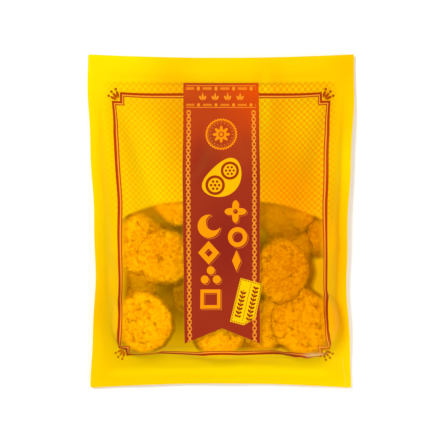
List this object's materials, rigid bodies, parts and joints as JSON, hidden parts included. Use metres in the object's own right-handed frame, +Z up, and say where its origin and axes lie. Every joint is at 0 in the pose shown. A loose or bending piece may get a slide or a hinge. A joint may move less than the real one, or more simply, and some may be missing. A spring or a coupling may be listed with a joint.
{
  "type": "sealed bag of round rice crackers",
  "caption": "Flat heat-sealed film bag, puffed up by the round fried rice crackers inside, with a clear yellow window below a checked panel and a red ribbon print.",
  "frame": {"origin": "under the middle of the bag, on the surface that it lies on", "axes": "+Z up out of the printed front panel, +Y towards the bag's top seal, +X to the right as the print is read"},
  "size_m": [0.2, 0.25, 0.0269],
  "materials": {
    "film": "thin satin polypropylene film, tinted yellow, printed with a checked panel, a framed window and a red ribbon",
    "cracker": "bubbly fried rice dough, matt, golden with brown specks"
  },
  "bodies": {
    "root": {"bag": "film"}
  },
  "joints": []
}
